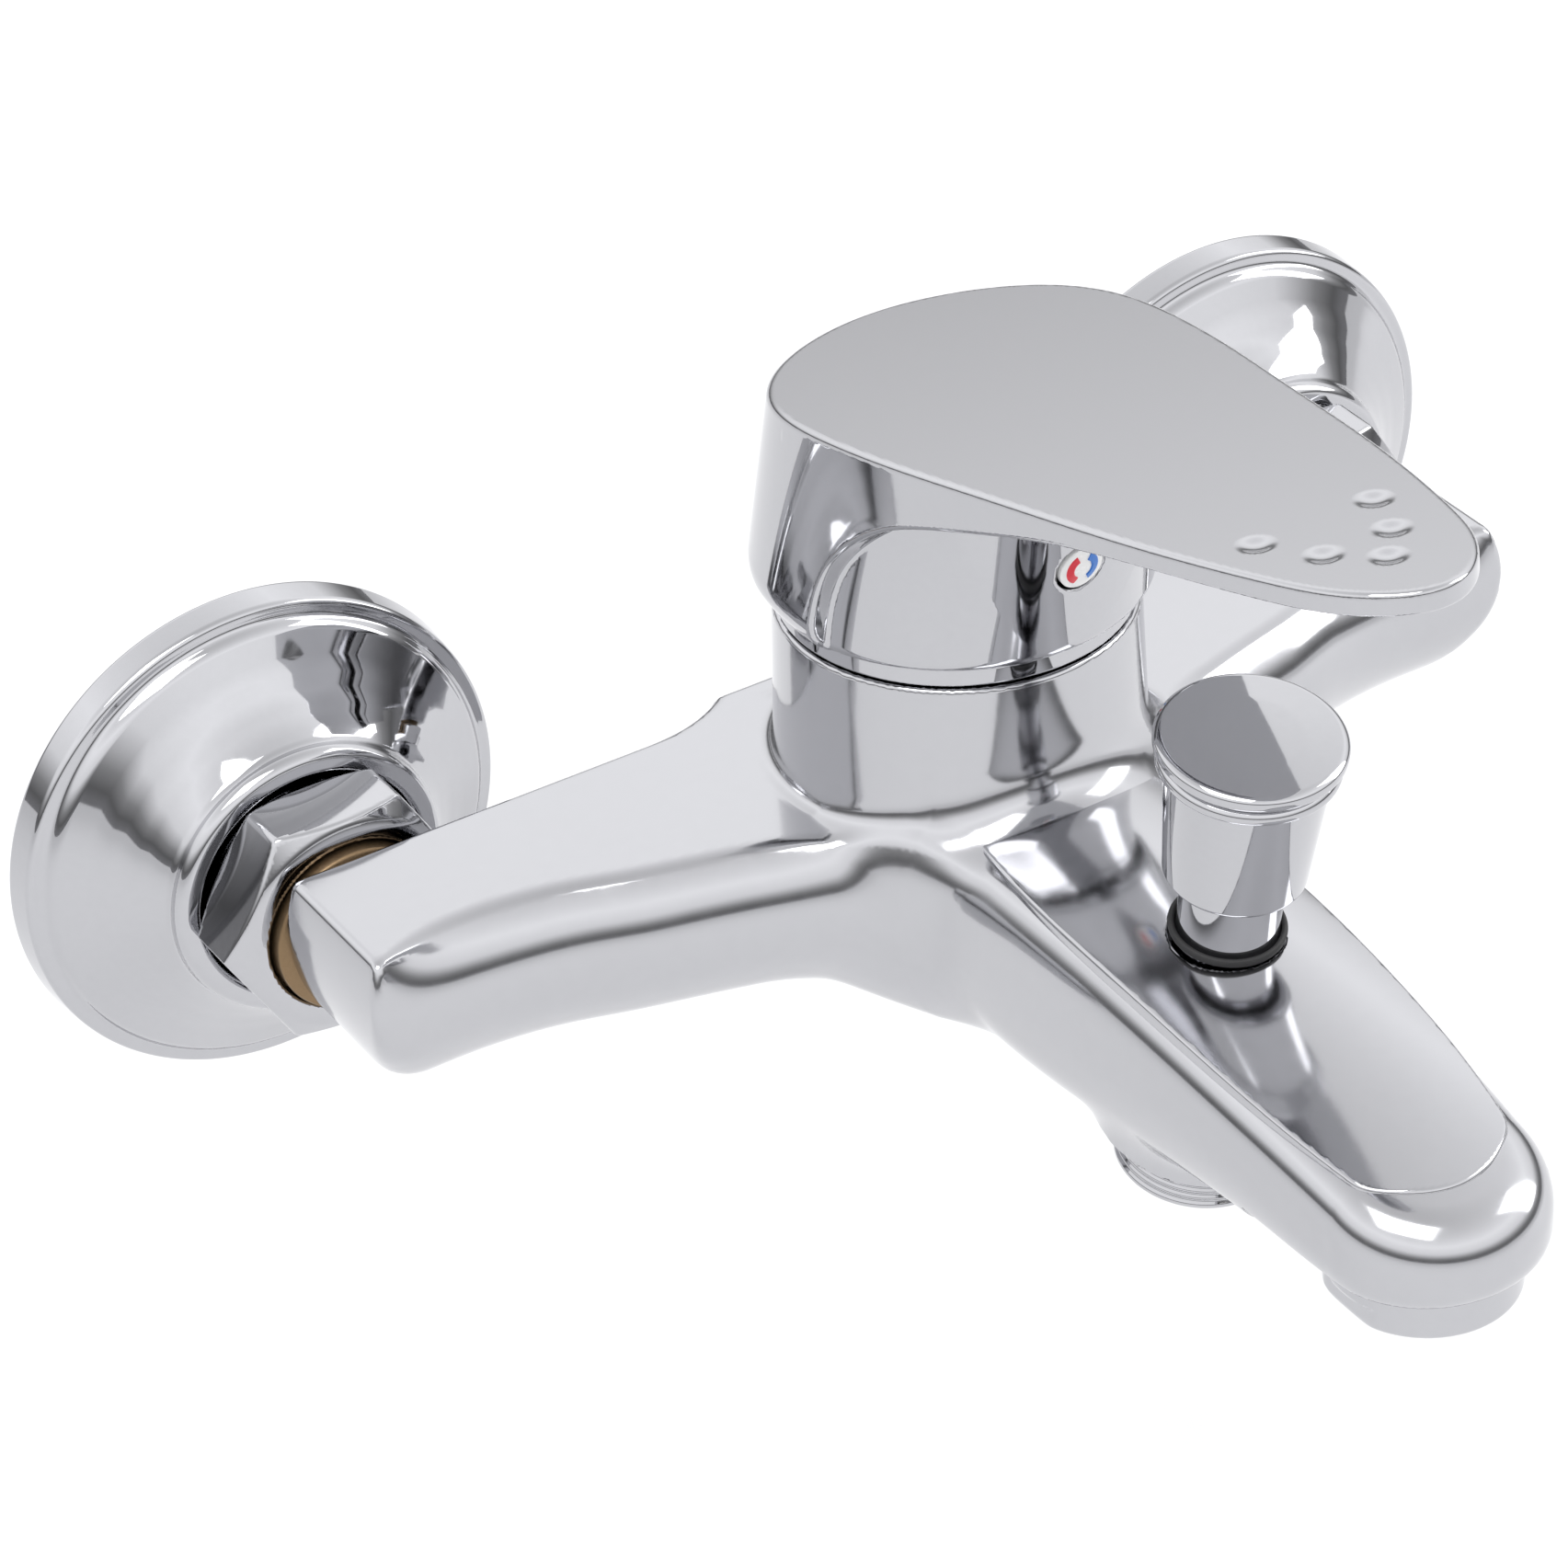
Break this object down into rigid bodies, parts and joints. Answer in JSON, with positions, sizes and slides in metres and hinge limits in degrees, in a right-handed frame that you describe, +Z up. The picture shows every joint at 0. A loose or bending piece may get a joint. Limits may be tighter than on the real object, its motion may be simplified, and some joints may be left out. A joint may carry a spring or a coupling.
{
  "type": "wall mounted bath shower mixer",
  "caption": "Chromed single lever bath mixer on wall unions, with a lift knob that turns the water from the spout to a shower outlet.",
  "frame": {"origin": "on the wall plane, midway between the two inlet centres and at their height", "axes": "+X along the arms to the right of someone facing the wall, +Y into the wall, +Z up; the spout stands out along -Y"},
  "size_m": [0.2172, 0.1778, 0.1164],
  "materials": {
    "acetal": "moulded acetal",
    "blue_paint": "blue print",
    "brass": "machined brass",
    "ceramic": "lapped alumina ceramic",
    "chrome": "polished chrome plate",
    "fibre": "pressed sealing fibre",
    "red_paint": "red print",
    "rubber": "black nitrile rubber",
    "steel": "stainless steel",
    "white_plastic": "white plastic"
  },
  "bodies": {
    "mixer_body": {"aerator_housing": "chrome", "aerator_insert": "acetal", "aerator_washer": "rubber", "body_casting": "chrome", "bonnet_ring": "chrome", "cartridge_base": "acetal", "cartridge_housing": "acetal", "cartridge_lock_nut": "brass", "check_valve_cage": "acetal", "cold_port_seal": "rubber", "diverter_gland": "chrome", "diverter_o_ring": "rubber", "fixed_disc": "ceramic", "hot_port_seal": "rubber", "left_escutcheon": "chrome", "left_inlet_gasket": "fibre", "left_inlet_nipple": "brass", "left_strainer": "steel", "left_union_nut": "chrome", "left_wall_union": "chrome", "mixed_port_seal": "rubber", "right_escutcheon": "chrome", "right_inlet_gasket": "fibre", "right_inlet_nipple": "brass", "right_strainer": "steel", "right_union_nut": "chrome", "right_wall_union": "chrome", "shower_outlet_nipple": "chrome"},
    "turning_cartridge": {"turning_sleeve": "acetal", "pivot_pin": "steel"},
    "lever": {"lever_spindle": "brass", "handle_lever": "chrome", "handle_set_screw": "steel", "index_button": "white_plastic", "red_index_mark": "red_paint", "blue_index_mark": "blue_paint"},
    "sliding_disc": {"moving_disc": "ceramic", "disc_carrier": "acetal"},
    "diverter": {"diverter_knob": "chrome", "diverter_knob_cap": "chrome", "diverter_stem": "brass", "diverter_plunger": "acetal", "upper_plunger_seal": "rubber", "lower_plunger_seal": "rubber", "diverter_spring": "steel"},
    "check_valve": {"check_valve_poppet": "acetal", "check_valve_spring": "steel"}
  },
  "joints": [
    {"name": "handle_turn", "type": "hinge", "parent": "mixer_body", "child": "turning_cartridge", "pos_m": [0, -0.052, 0.03], "axis": [0, 0, 1], "range_deg": [-45, 45]},
    {"name": "handle_lift", "type": "hinge", "parent": "turning_cartridge", "child": "lever", "pos_m": [0, -0.052, 0.03], "axis": [-1, 0, 0], "range_deg": [0, 20]},
    {"name": "disc_slide", "type": "slide", "parent": "turning_cartridge", "child": "sliding_disc", "axis": [0, -1, 0], "range_m": [0, 0.0038]},
    {"name": "diverter_pull", "type": "slide", "parent": "mixer_body", "child": "diverter", "axis": [0, -0.1564, 0.9877], "range_m": [0, 0.0064], "stiffness_N_per_m": 60, "springref_m": -0.01, "deforming": ["diverter_spring"]},
    {"name": "check_valve_open", "type": "slide", "parent": "mixer_body", "child": "check_valve", "axis": [0, 0.1564, -0.9877], "range_m": [0, 0.002], "stiffness_N_per_m": 50, "springref_m": -0.004, "deforming": ["check_valve_spring"]}
  ],
  "couplings": [
    {"joint": "disc_slide", "follows": "handle_lift", "m_per_rad": 0.0104}
  ]
}
